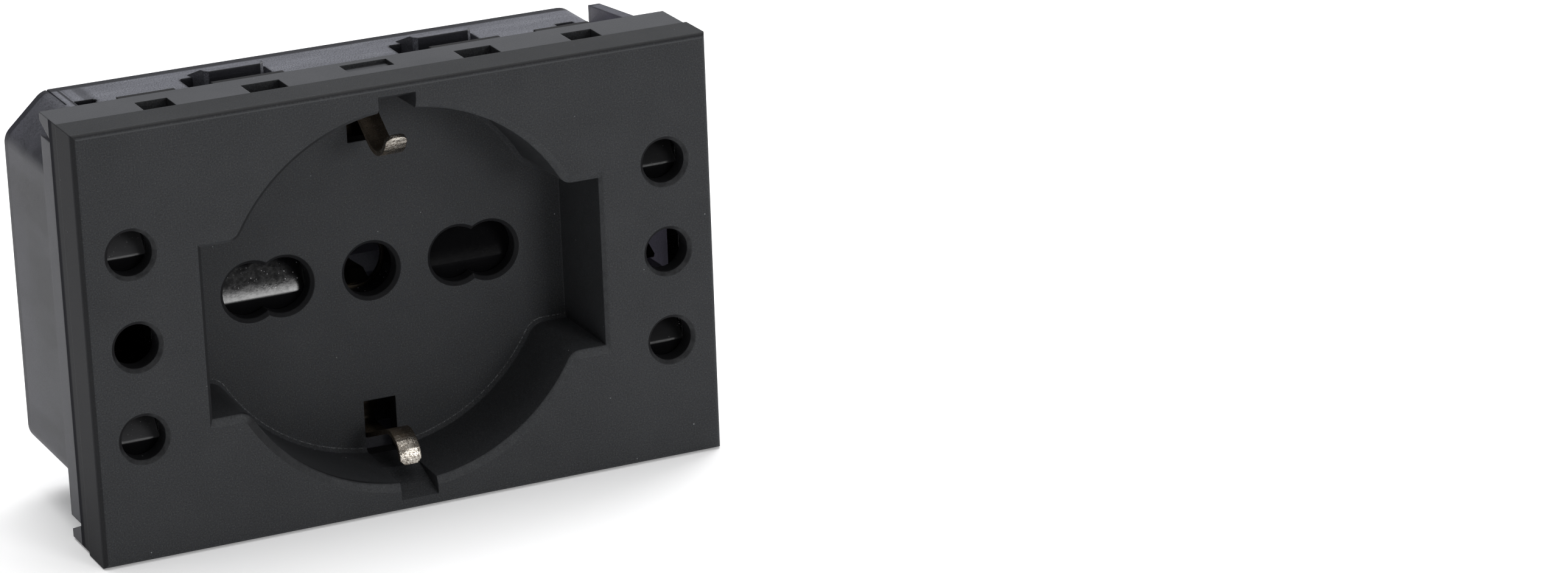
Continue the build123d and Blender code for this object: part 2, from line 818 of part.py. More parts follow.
# Live and neutral bars behind the carrier, each with a riser to the contact and the terminal
bar_front = carrier_back
bar_back = carrier_back + metal
bar_row = (13.3, 15.7)
bar_width = 2.4
terminal_riser = (terminal_low, terminal_low + metal)
outer_run = (17.2, 19.2)
riser_column = (9.3, 13.2)
post_run = (13.6, 17.4)
bridge_top = 8.0
riser_end = central_base + strip_thickness / 2


def threaded_plate(x):
    block(
        (x - terminal_half_width, x + terminal_half_width),
        (terminal_front, terminal_front + terminal_plate), (terminal_low, terminal_high),
    )
    with Locations(Location((x, terminal_front + terminal_plate / 2, terminal_height), (90, 0, 0))):
        Cylinder(screw_radius + screw_clearance, terminal_plate + 1, mode=Mode.SUBTRACT)


with BuildPart() as live_bar:
    block((-side_column - bar_width / 2, side_column + bar_width / 2), (bar_front, bar_back), bar_row)
    for side in (-1, 1):
        block(
            (side * side_column - bar_width / 2, side * side_column + bar_width / 2),
            (bar_front, bar_back), (side_pitch - 1.5, bar_row[1]),
        )
    block((-post_run[1], -riser_column[0]), (bar_front, bar_back), (contact_riser[0], bar_row[1]))
    block(mirrored(-1, *riser_column), (bar_front, riser_end), contact_riser)
    block(mirrored(-1, *post_run), (bar_front, terminal_front + terminal_plate), terminal_riser)
    threaded_plate(-terminal_pitch)
finish(live_bar, "live_bar")

with BuildPart() as neutral_bar:
    block((-side_column - bar_width / 2, side_column + bar_width / 2), (bar_front, bar_back),
          (-bar_row[1], -bar_row[0]))
    for side in (-1, 1):
        block(
            (side * side_column - bar_width / 2, side * side_column + bar_width / 2),
            (bar_front, bar_back), (-bar_row[1], -side_pitch + 1.5),
        )
    block(outer_run, (bar_front, bar_back), (-bar_row[1], bridge_top))
    block((riser_column[0], outer_run[1]), (bar_front, bar_back), (contact_riser[0], bridge_top))
    block(riser_column, (bar_front, riser_end), contact_riser)
    block(post_run, (bar_front, terminal_front + terminal_plate), terminal_riser)
    threaded_plate(terminal_pitch)
finish(neutral_bar, "neutral_bar")

with BuildPart() as earth_terminal:
    block((-2.5, 2.5), (link_front, terminal_front + terminal_plate), terminal_riser)
    threaded_plate(0)
finish(earth_terminal, "earth_terminal")


# Terminal clamps and screws, worked from the back
clamp_front = terminal_front + terminal_plate + wire_gap
clamp_back = clamp_front + clamp_thickness
for step, word in ((-1, "live"), (0, "earth"), (1, "neutral")):
    x = step * terminal_pitch
    with BuildPart() as clamp_plate:
        block(
            (x - clamp_half_width, x + clamp_half_width), (clamp_front, clamp_back),
            (terminal_height - clamp_half_height, terminal_height + clamp_half_height),
        )
        with Locations(Location((x, clamp_front, terminal_height), (90, 0, 0))):
            Cylinder(screw_radius + screw_clearance, 3 * clamp_thickness, mode=Mode.SUBTRACT)
    finish(clamp_plate, f"{word}_clamp_plate")

    with BuildPart() as terminal_screw:
        with BuildSketch(facing(clamp_back)):
            with Locations((x, terminal_height)):
                Circle(head_radius)
        extrude(amount=-head_height)
        with BuildSketch(facing(clamp_back - screw_length)):
            with Locations((x, terminal_height)):
                Circle(screw_radius)
        extrude(amount=-screw_length)
        with BuildSketch(facing(clamp_back + head_height - 1.2)):
            with Locations((x, terminal_height)):
                Rectangle(2 * head_radius + 1, 0.8)
                Rectangle(0.9, 3.6)
        extrude(amount=-2, mode=Mode.SUBTRACT)
    finish(terminal_screw, f"{word}_terminal_screw")
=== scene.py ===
import json
import math

import bmesh
import bpy
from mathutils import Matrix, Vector


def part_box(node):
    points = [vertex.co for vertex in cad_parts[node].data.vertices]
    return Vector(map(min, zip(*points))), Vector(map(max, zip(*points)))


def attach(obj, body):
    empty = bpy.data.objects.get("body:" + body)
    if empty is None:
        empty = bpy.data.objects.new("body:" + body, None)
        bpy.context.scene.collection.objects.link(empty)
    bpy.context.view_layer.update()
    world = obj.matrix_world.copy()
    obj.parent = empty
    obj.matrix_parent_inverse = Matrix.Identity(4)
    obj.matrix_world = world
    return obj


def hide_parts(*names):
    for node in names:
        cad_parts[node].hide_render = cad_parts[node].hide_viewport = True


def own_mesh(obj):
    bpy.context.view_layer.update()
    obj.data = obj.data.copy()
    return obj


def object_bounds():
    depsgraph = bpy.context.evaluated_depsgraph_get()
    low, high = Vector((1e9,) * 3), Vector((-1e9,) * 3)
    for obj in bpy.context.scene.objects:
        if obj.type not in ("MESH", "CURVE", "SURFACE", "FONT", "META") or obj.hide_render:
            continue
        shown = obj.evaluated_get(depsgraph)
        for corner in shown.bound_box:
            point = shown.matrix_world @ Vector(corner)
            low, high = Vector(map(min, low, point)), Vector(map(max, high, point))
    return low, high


# Three-module flush socket, dressed around its CAD frame. Blender units are metres.
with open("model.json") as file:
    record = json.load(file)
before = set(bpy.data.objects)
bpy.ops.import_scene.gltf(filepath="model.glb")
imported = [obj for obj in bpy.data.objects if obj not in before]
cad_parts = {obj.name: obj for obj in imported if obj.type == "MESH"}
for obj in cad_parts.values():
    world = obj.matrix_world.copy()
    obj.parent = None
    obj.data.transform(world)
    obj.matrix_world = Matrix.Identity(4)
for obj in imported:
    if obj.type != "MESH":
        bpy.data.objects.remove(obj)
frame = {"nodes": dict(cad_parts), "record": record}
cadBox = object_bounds()
mm = 0.001


# Small helpers for node trees. A mask runs from 0 to 1.
class Tree:
    def add(self, kind, sockets=None, **settings):
        node = self.tree.nodes.new(kind)
        for key, value in settings.items():
            setattr(node, key, value)
        for key, value in (sockets or {}).items():
            self.feed(node.inputs[key], value)
        return node

    def feed(self, socket, value):
        if isinstance(value, bpy.types.NodeSocket):
            self.tree.links.new(value, socket)
        else:
            socket.default_value = value

    def sum(self, one, other, how="ADD"):
        return self.add("ShaderNodeMath", {0: one, 1: other}, operation=how).outputs[0]

    def less(self, one, other):
        return self.sum(one, other, "SUBTRACT")

    def times(self, one, *others):
        for other in others:
            one = self.sum(one, other, "MULTIPLY")
        return one

    def either(self, one, *others):
        for other in others:
            one = self.sum(one, other, "MAXIMUM")
        return one

    def away(self, value, centre=0.0):
        # distance from the centre
        return self.sum(self.less(value, centre), 0.0, "ABSOLUTE")

    def over(self, value, limit):
        return self.sum(value, limit, "GREATER_THAN")

    def under(self, value, limit):
        return self.sum(value, limit, "LESS_THAN")

    def spread(self, value, low, high, start=0.0, end=1.0, how="LINEAR"):
        node = self.add("ShaderNodeMapRange", {"Value": value, "From Min": start, "From Max": end,
                                               "To Min": low, "To Max": high}, interpolation_type=how)
        return node.outputs["Result"]

    def rise(self, value, start, end, top=1.0):
        # mask that grows from the start to the end
        return self.spread(value, 0.0, top, start, end)

    def fall(self, value, start, end, top=1.0):
        # mask that fades from the start to the end
        return self.spread(value, top, 0.0, start, end)

    def within(self, value, start, end):
        # mask of a band, whose two sides are soft
        return self.times(self.rise(value, *start), self.fall(value, *end))


# Helpers for the finishes
class Finish(Tree):
    def __init__(self, name):
        self.material = bpy.data.materials.new(name)
        self.material.use_nodes = True
        self.tree = self.material.node_tree
        self.tree.nodes.clear()
        self.output = self.add("ShaderNodeOutputMaterial")
        self.coords = self.add("ShaderNodeTexCoord").outputs["Object"]

    def noise(self, grain, detail, rough, where=None):
        # noise whose lumps are about one grain across, in metres
        node = self.add("ShaderNodeTexNoise", {"Vector": where or self.coords, "Scale": 1 / grain,
                                               "Detail": detail, "Roughness": rough})
        return node.outputs["Fac"]

    def specks(self, spacing, size, kept):
        # 1 in small dots of 0.4 to 1.3 times the size, in this share of the cells
        cells = self.add("ShaderNodeTexVoronoi", {"Vector": self.coords, "Scale": 1 / spacing})
        chance = self.add("ShaderNodeSeparateXYZ", {0: cells.outputs["Color"]}).outputs
        reach = self.spread(chance["Y"], 0.4 * size / spacing, 1.3 * size / spacing)
        dot = self.fall(cells.outputs["Distance"], self.times(reach, 0.5), reach)
        return self.times(dot, self.under(chance["X"], kept))

    def mix(self, share, one, other):
        node = self.add("ShaderNodeMix", data_type="RGBA")
        self.feed(node.inputs["Factor"], share)
        self.feed(node.inputs[6], one)
        self.feed(node.inputs[7], other)
        return node.outputs[2]

    def stretched(self, scale, turn=(0, 0, 0)):
        node = self.add("ShaderNodeMapping", {"Vector": self.coords, "Scale": scale, "Rotation": turn})
        return node.outputs[0]

    def place(self):
        return self.add("ShaderNodeSeparateXYZ", {0: self.coords}).outputs

    def flat(self):
        return self.add("ShaderNodeNewGeometry").outputs["Normal"]

    def facing(self):
        return self.add("ShaderNodeSeparateXYZ", {0: self.flat()}).outputs

    def rounded(self, radius):
        return self.add("ShaderNodeBevel", {"Radius": radius}, samples=6).outputs["Normal"]

    def edges(self, radius, low=0.72, high=0.985):
        # 1 along sharp edges and 0 on the flats
        turned = self.add("ShaderNodeVectorMath", {0: self.rounded(radius), 1: self.flat()},
                          operation="DOT_PRODUCT")
        return self.fall(turned.outputs["Value"], low, high)

    def bump(self, height, normal, depth, strength=1.0):
        node = self.add("ShaderNodeBump", {"Height": height, "Normal": normal, "Distance": depth,
                                           "Strength": strength})
        return node.outputs["Normal"]

    def shine(self, sockets):
        return self.add("ShaderNodeBsdfPrincipled", sockets).outputs["BSDF"]

    def matt(self, colour, normal):
        return self.add("ShaderNodeBsdfDiffuse", {"Color": colour, "Normal": normal}).outputs[0]

    def blend(self, share, one, other):
        return self.add("ShaderNodeMixShader", {"Fac": share, 1: one, 2: other}).outputs[0]

    def done(self, shader):
        self.tree.links.new(shader, self.output.inputs["Surface"])
        return self.material


# Charcoal moulded plastic with a fine spark-eroded grain, dusty and worn paler along its edges, with
# painted sheen on its top and painted shade and highlights on its left side, hole walls and rims.
# Here and below a mask is a start, an end and at times a strength; with four values it is two
# results and the two inputs they belong to.
coverLook = {
    "dark": (0.0268, 0.0277, 0.0294, 1), "light": (0.0336, 0.0347, 0.0366, 1),
    "rear": (0.0760, 0.0775, 0.0840, 1), "rearDark": (0.066, 0.068, 0.074, 1),
    # worn and polished are tones of the grain, and they also serve as painted highlights and painted shade
    # below
    "wornAndHighlight": (0.068, 0.070, 0.073, 1), "polishedAndShade": (0.008, 0.008, 0.009, 1),
    "cool": (0.0275, 0.0300, 0.0350, 1), "sideShadeFilm": (0.0212, 0.0214, 0.0256, 1),
    "ledge": (0.10, 0.101, 0.109, 1), "burr": (0.17, 0.175, 0.18, 1), "dust": (0.40, 0.41, 0.42, 1),
    # noises (size, detail, roughness), bumps (depth, strength) and how much of each noise shows
    "mottle": (7 * mm, 4, 0.6), "mottleBump": (0.04 * mm, 0.3), "grain": (0.15 * mm, 3, 0.65),
    "grainBump": (0.024 * mm, 0.9), "fleck": (0.9 * mm, 5, 0.7), "tint": (0.22 * mm, 2, 0.6),
    "burrGrain": (0.16 * mm, 3, 0.7), "edge": 0.2 * mm,
    "cloudy": (0.3, 0.7), "peaks": (0.52, 0.72, 0.7), "hollows": (0.30, 0.49, 0.6),
    "cooled": (0.48, 0.62, 0.6), "rough": (0.5, 0.68, 0.25, 0.75), "specular": 0.14,
    "wear": (0.1, 0.6, 0.35, 0.65), "dots": (1.7 * mm, 0.06 * mm, 0.6), "dustShare": (0.1, 1.0, 0.4, 0.6),
    # paler part of the top, a painted sheen on upward faces
    "rearBand": ((4.65 * mm, 4.75 * mm), (11.3 * mm, 11.4 * mm)), "topFrom": (21.5 * mm, 21.9 * mm),
    "topFacing": (0.75, 0.95),
    # left side with its painted shade, its rear edge, the ledge and its notch
    "leftFacing": (-0.95, -0.75), "leftFrom": (-33.2 * mm, -33.0 * mm), "sideEdge": (6.2 * mm, 6.6 * mm),
    "sideShadeShare": (0.45, 0.85), "sideShadeFilmShare": (0.35, 0.85), "ledgeFrom": 7.45 * mm,
    "notch": 19.95 * mm, "notchHalf": 0.3 * mm,
    # walls of the pin holes, with painted shade
    "steep": 0.88, "column": 28.6 * mm, "columnHalf": 3.2 * mm, "columnTop": 13 * mm,
    "holeFrom": 10.23 * mm, "holeShadeShare": 0.85,
    # rounded front edge along the top, with a painted shade line and a painted highlight line
    "rimFrom": (21.7 * mm, 21.8 * mm), "rimShadeLine": ((0.45, 0.6), (0.9, 0.98)), "rimShadeShare": 0.75,
    "rimHighlightLine": ((0.08, 0.2), (0.3, 0.42)), "rimHighlightShare": 0.6,
    # rounded rims, with painted shade and painted highlights
    "roundFacing": 0.94, "roundDepth": 0.9 * mm, "halfWidth": 33 * mm, "halfHeight": 21.8 * mm,
    "rightShade": (0.1, 0.3, 0.75), "leftHighlight": (-0.4, -0.15, 0.4), "upHighlight": (0.15, 0.4, 0.35),
    "highlightFleck": (0.4, 1.0, 0.4, 0.6), "highlightFacing": -0.45,
    "outerShade": (-0.3, -0.1, 0.7), "outerFacing": -0.9,
    # burr round the floor of the recess
    "burrBand": ((10.10 * mm, 10.15 * mm), (10.18 * mm, 10.20 * mm)), "burrShare": (0.46, 0.66, 0.9),
    "burrBelow": (-7 * mm, -5 * mm),
}


def coverPlastic():
    look = coverLook
    f = Finish("coverPlastic")
    across, depth, height = f.place()
    right, back, up = f.facing()
    mottle = f.noise(*look["mottle"])
    grain = f.noise(*look["grain"])
    fleck = f.noise(*look["fleck"])
    cloudy = f.rise(mottle, *look["cloudy"])
    base = f.mix(cloudy, look["dark"], look["light"])
    base = f.mix(f.rise(grain, *look["peaks"]), base, look["wornAndHighlight"])
    base = f.mix(f.fall(grain, *look["hollows"]), base, look["polishedAndShade"])
    base = f.mix(f.rise(f.noise(*look["tint"]), *look["cooled"]), base, look["cool"])
    # painted sheen: the part behind the step of the band is paler on its upward faces
    top = f.times(f.within(depth, *look["rearBand"]), f.rise(up, *look["topFacing"]),
                  f.rise(height, *look["topFrom"]))
    base = f.mix(top, base, f.mix(cloudy, look["rear"], look["rearDark"]))
    # painted shade: the left side is darker, most of all along its rear edge, and pale on the ledge behind
    # that
    left = f.times(f.fall(right, *look["leftFacing"]), f.fall(across, *look["leftFrom"]))
    edge = f.rise(depth, *look["sideEdge"])
    base = f.mix(f.times(left, f.spread(edge, *look["sideShadeShare"])), base, look["polishedAndShade"])
    ledge = f.times(left, f.over(depth, look["ledgeFrom"]),
                    f.over(f.away(height, look["notch"]), look["notchHalf"]))
    base = f.mix(ledge, base, look["ledge"])
    # painted shade: the walls of the pin holes are darkened
    column = f.times(f.under(f.away(f.away(across), look["column"]), look["columnHalf"]),
                     f.under(f.away(height), look["columnTop"]))
    hole = f.either(column, f.over(depth, look["holeFrom"]))
    steep = f.under(f.away(back), look["steep"])
    base = f.mix(f.times(hole, steep, look["holeShadeShare"]), base, look["polishedAndShade"])
    wear = f.times(f.edges(look["edge"]), f.spread(fleck, *look["wear"]))
    colour = f.mix(wear, base, look["wornAndHighlight"])
    # the rounded front edge along the top gets a painted shade line, with a painted highlight line in front
    # of it
    rim = f.rise(height, *look["rimFrom"])
    dark = f.times(f.within(up, *look["rimShadeLine"]), rim, look["rimShadeShare"])
    colour = f.mix(dark, colour, look["polishedAndShade"])
    pale = f.times(f.within(up, *look["rimHighlightLine"]), rim, look["rimHighlightShare"])
    colour = f.mix(pale, colour, look["wornAndHighlight"])
    # rounded rims get painted shade where they turn right, and a painted highlight, broken up by the fleck
    # noise, where they turn up or left
    rounding = f.times(f.under(f.away(back), look["roundFacing"]), f.under(depth, look["roundDepth"]))
    inner = f.times(rounding, f.under(f.away(across), look["halfWidth"]),
                    f.under(f.away(height), look["halfHeight"]))
    colour = f.mix(f.times(f.rise(right, *look["rightShade"]), inner), colour, look["polishedAndShade"])
    pale = f.either(f.fall(right, *look["leftHighlight"]), f.rise(up, *look["upHighlight"]))
    pale = f.times(pale, inner, f.spread(fleck, *look["highlightFleck"]), f.under(back, look["highlightFacing"]))
    colour = f.mix(pale, colour, look["wornAndHighlight"])
    # the outer edge on the left gets painted shade too
    outer = f.times(f.fall(right, *look["outerShade"]), rounding, f.under(across, -look["halfWidth"]),
                    f.over(right, look["outerFacing"]))
    colour = f.mix(outer, colour, look["polishedAndShade"])
    # a thin line of moulding burr round the lower part of the floor of the recess
    crumbs = f.rise(f.noise(*look["burrGrain"]), *look["burrShare"])
    burr = f.times(f.within(depth, *look["burrBand"]), crumbs, f.fall(height, *look["burrBelow"]))
    colour = f.mix(burr, colour, look["burr"])
    dust = f.times(f.specks(*look["dots"]), f.spread(fleck, *look["dustShare"]))
    colour = f.mix(dust, colour, look["dust"])
    soft = f.bump(mottle, f.rounded(look["edge"]), *look["mottleBump"])
    normal = f.bump(grain, soft, *look["grainBump"])
    body = f.shine({"Base Color": colour, "Roughness": f.spread(grain, *look["rough"]),
                    "Specular IOR Level": look["specular"], "Normal": normal})
    # painted shade: a dark matt film lies on the left side, though not on its ledge
    share = f.times(left, f.spread(edge, *look["sideShadeFilmShare"]), f.less(1.0, ledge))
    return f.done(f.blend(share, body, f.matt(look["sideShadeFilm"], normal)))


# Smoky translucent plastic of the case, with painted shade on its corners, left wall and inside
caseLook = {
    "dark": (0.120, 0.123, 0.141, 1), "light": (0.230, 0.236, 0.270, 1), "scuff": (0.28, 0.288, 0.32, 1),
    "rim": (0.014, 0.0145, 0.018, 1), "clear": (0.55, 0.55, 0.62, 1), "glow": (0.34, 0.33, 0.38, 1),
    # noises (size, detail, roughness), bumps (depth, strength) and how much of each noise shows
    "flow": (9 * mm, 5, 0.6), "flowStretch": (0.35, 1, 1), "flowBump": (0.1 * mm, 0.4),
    "streak": (1.1 * mm, 4, 0.7), "streakStretch": (0.16, 1, 1),
    "grain": (0.16 * mm, 4, 0.7), "grainBump": (0.035 * mm, 0.9),
    "cloudy": (0.3, 0.7), "scuffFacing": (0.35, 1.0, 0.5, 0.9), "scuffs": (0.5, 0.7, 0.55),
    "hollows": (0.38, 0.56, 0.7), "rough": (0.3, 0.48, 0.3, 0.7), "specular": 0.25,
    "clearShare": (0.03, 0.09, 0.3, 0.7), "glowShare": (0.03, 0.35, 28 * mm, 31 * mm),
    # edges, the band along the rear edge, the corners with their painted shade and the end wall
    "edge": 0.25 * mm, "rimWidth": 0.55 * mm, "rimFacing": (0.80, 0.995), "rimShare": 0.85,
    "rearBand": ((23.5 * mm, 23.9 * mm, 0.88), (25.8 * mm, 25.9 * mm)), "notRear": (0.8, 0.95),
    "cornerShadeFacing": (-0.45, -0.12), "cornerShadeCloud": (0.75, 0.2, 0.4, 0.6),
    "endWall": (-28.3 * mm, -28.0 * mm, 0.42),
    # lug strip on the roof, with a groove at each side
    "roofFacing": (0.8, 0.95), "stripBand": ((-27.1 * mm, -26.9 * mm), (-26.3 * mm, -26.1 * mm)),
    "stripEnd": 24.0 * mm, "stripBump": (0.12 * mm, 0.8),
    "grooveBand": ((-26.2 * mm, -25.9 * mm, 0.5), (-25.2 * mm, -24.6 * mm)),
    "grooveLine": -27.35 * mm, "grooveEdge": (0.05 * mm, 0.22 * mm, 0.9),
    # left wall, with painted shade and painted shadows
    "leftFacing": (-0.95, -0.8), "shadeBehindFlange": (0.02, 0.33, 12.2 * mm, 12.6 * mm),
    "slantShadow": (5 * mm, 2, 0.5), "slantShadowStretch": (1, 0.22, 1), "slantShadowTurn": (math.radians(42), 0, 0),
    "slantShadowShare": (0.36, 0.54, 0.34),
    # inside
    "insideTop": 18.7 * mm, "insideWidth": 28 * mm, "insideDepth": 25.0 * mm,
    "aheadFacing": -0.9, "aheadFrom": 11.5 * mm, "insideShare": 0.96,
}


def smokedPlastic():
    look = caseLook
    f = Finish("smokedPlastic")
    across, depth, height = f.place()
    right, back, up = f.facing()
    flow = f.noise(*look["flow"], f.stretched(look["flowStretch"]))
    streak = f.noise(*look["streak"], f.stretched(look["streakStretch"]))
    grain = f.noise(*look["grain"])
    base = f.mix(f.rise(flow, *look["cloudy"]), look["dark"], look["light"])
    # scuffs run along the roof and the underside
    streak = f.times(streak, f.spread(f.away(up), *look["scuffFacing"]))
    base = f.mix(f.rise(streak, *look["scuffs"]), base, look["scuff"])
    base = f.mix(f.fall(grain, *look["hollows"]), base, look["rim"])
    # the walls behind the edges darken a band along them, and the end wall too; the corner chamfers get
    # painted shade
    rim = f.times(f.edges(look["rimWidth"], *look["rimFacing"]), look["rimShare"])
    rear = f.times(f.within(depth, *look["rearBand"]), f.fall(back, *look["notRear"]))
    corner = f.fall(f.times(right, up), *look["cornerShadeFacing"])
    corner = f.times(corner, f.spread(flow, *look["cornerShadeCloud"]))
    end = f.fall(across, *look["endWall"])
    # a lug strip near the left end of the roof, between two grooves
    roof = f.rise(up, *look["roofFacing"])
    strip = f.times(f.within(across, *look["stripBand"]), roof, f.under(depth, look["stripEnd"]))
    line = f.fall(f.away(across, look["grooveLine"]), *look["grooveEdge"])
    groove = f.times(f.either(f.within(across, *look["grooveBand"]), line), roof)
    # painted shade: the left wall is darker behind its flange, with slanting painted shadows
    left = f.fall(right, *look["leftFacing"])
    slantShadow = f.noise(*look["slantShadow"], f.stretched(look["slantShadowStretch"], look["slantShadowTurn"]))
    wallShade = f.sum(f.spread(depth, *look["shadeBehindFlange"]), f.fall(slantShadow, *look["slantShadowShare"]))
    # the inside is dark wherever the side walls don't light it
    inside = f.times(f.under(f.away(height), look["insideTop"]),
                     f.under(f.away(across), look["insideWidth"]), f.under(depth, look["insideDepth"]))
    ahead = f.times(f.under(back, look["aheadFacing"]), f.over(depth, look["aheadFrom"]))
    inside = f.times(f.either(inside, ahead), look["insideShare"])
    # shade gathers the darker bands, the grooves and the painted shade of the corners, the left wall and
    # the inside
    shade = f.either(rim, rear, corner, end, groove, f.times(left, wallShade), inside)
    colour = f.mix(shade, base, look["rim"])
    soft = f.bump(flow, f.rounded(look["edge"]), *look["flowBump"])
    soft = f.bump(strip, soft, *look["stripBump"])
    normal = f.bump(f.sum(grain, streak), soft, *look["grainBump"])
    body = f.shine({"Base Color": colour, "Roughness": f.spread(grain, *look["rough"]),
                    "Specular IOR Level": look["specular"], "Normal": normal})
    # light shines through the side walls
    glow = f.add("ShaderNodeBsdfTranslucent", {"Color": look["glow"], "Normal": normal}).outputs[0]
    lit = f.blend(f.spread(f.away(across), *look["glowShare"]), body, glow)
    seen = f.add("ShaderNodeBsdfTransparent", {"Color": look["clear"]}).outputs[0]
    return f.done(f.blend(f.spread(flow, *look["clearShare"]), lit, seen))


# Inner plastics: what both have, and then what each has of its own
innerLook = {
    "cloud": (4 * mm, 4, 0.6), "cloudy": (0.3, 0.7), "grain": (0.5 * mm, 4, 0.65), "coatRough": 0.05,
    # dust specks, which on the shutters also serve as painted glints
    "dots": (0.30 * mm, 0.06 * mm, 0.35), "dust": (0.6, 0.6, 0.61, 1),
}
innerLooks = {
    "carrierPlastic": {"dark": (0.008, 0.008, 0.009, 1), "light": (0.013, 0.0125, 0.015, 1),
                       "rough": (0.28, 0.45), "grainBump": (0.02 * mm, 0.8), "round": 0.12 * mm,
                       "coat": 0.0, "dustShare": (0.2, 0.25, 0.4, 0.6),
                       "tower": (0.115, 0.110, 0.130, 1), "towerFrom": 19 * mm},
    "shutterPlastic": {"dark": (0.0035, 0.0035, 0.004, 1), "light": (0.007, 0.007, 0.008, 1),
                       "rough": (0.10, 0.22), "grainBump": (0.012 * mm, 0.8), "round": 0.35 * mm,
                       "coat": 0.2, "dustShare": (0.2, 1.0, 0.4, 0.6),
                       "dull": (0.0045, 0.0045, 0.005, 1), "flatFacing": (-0.998, -0.985),
                       "rightShadeBand": ((2.5 * mm, 4.5 * mm), (18 * mm, 19 * mm)), "dullShare": 0.985,
                       "rowHalf": 4.8 * mm, "bowStart": 0.2 * mm, "bow": -34.0,
                       "leftRampHighlight": (0.062, 0.062, 0.065, 1), "rightRampHighlight": (0.022, 0.022, 0.023, 1),
                       "sideFrom": 20 * mm, "rampFacing": (0.1, 0.25, 0.8),
                       "rampHighlightFade": (-0.2 * mm, 2.2 * mm, 0.9), "rampBump": (0.036 * mm, 0.8)},
}


def innerPlastic(name):
    look = {**innerLook, **innerLooks[name]}
    f = Finish(name)
    place = f.place()
    across = place["X"]
    cloud = f.noise(*look["cloud"])
    grain = f.noise(*look["grain"])
    base = f.mix(f.rise(cloud, *look["cloudy"]), look["dark"], look["light"])
    if "tower" in look:
        # painted light: the tower on the right is painted pale, as if lit through the case wall
        base = f.mix(f.over(across, look["towerFrom"]), base, look["tower"])
    # dust specks; dense on the shutters, where they also serve as painted glints
    dust = f.times(f.specks(*look["dots"]), f.spread(cloud, *look["dustShare"]))
    colour = f.mix(dust, base, look["dust"])
    shape = f.rounded(look["round"])
    if "dull" in look:
        # each ramp bows over towards its lower edge
        row = f.add("ShaderNodeMath", {0: place["Z"], 1: look["rowHalf"], 2: -look["rowHalf"]},
                    operation="WRAP").outputs[0]
        below = f.sum(f.less(row, look["bowStart"]), 0.0, "MINIMUM")
        shape = f.bump(f.times(below, below, look["bow"]), shape, 1.0)
    normal = f.bump(grain, shape, *look["grainBump"])
    rough = f.spread(grain, *look["rough"], *look["cloudy"])
    body = f.shine({"Base Color": colour, "Roughness": rough, "Normal": normal,
                    "Coat Weight": look["coat"], "Coat Roughness": look["coatRough"]})
    if "dull" in look:
        # the flat faces are rubbed dull, and the ramp on the right is made matt and near black as painted
        # shade
        turn = f.facing()
        flat = f.fall(turn["Y"], *look["flatFacing"])
        dullAndShaded = f.times(f.either(f.within(across, *look["rightShadeBand"]), flat), look["dullShare"])
        body = f.blend(dullAndShaded, body, f.matt(look["dull"], normal))
        # the ramps at the sides are matt with a painted highlight, paler on the left ones and fading
        # upwards from their lower edge
        ramp = f.times(f.over(f.away(across), look["sideFrom"]), f.rise(turn["Z"], *look["rampFacing"]))
        # shade here holds the colour of the painted highlight
        shade = f.mix(f.over(across, 0.0), look["leftRampHighlight"], look["rightRampHighlight"])
        shade = f.mix(f.rise(row, *look["rampHighlightFade"]), shade, look["dull"])
        coarse = f.bump(grain, f.rounded(look["round"]), *look["rampBump"])
        body = f.blend(ramp, body, f.matt(shade, coarse))
    return f.done(body)


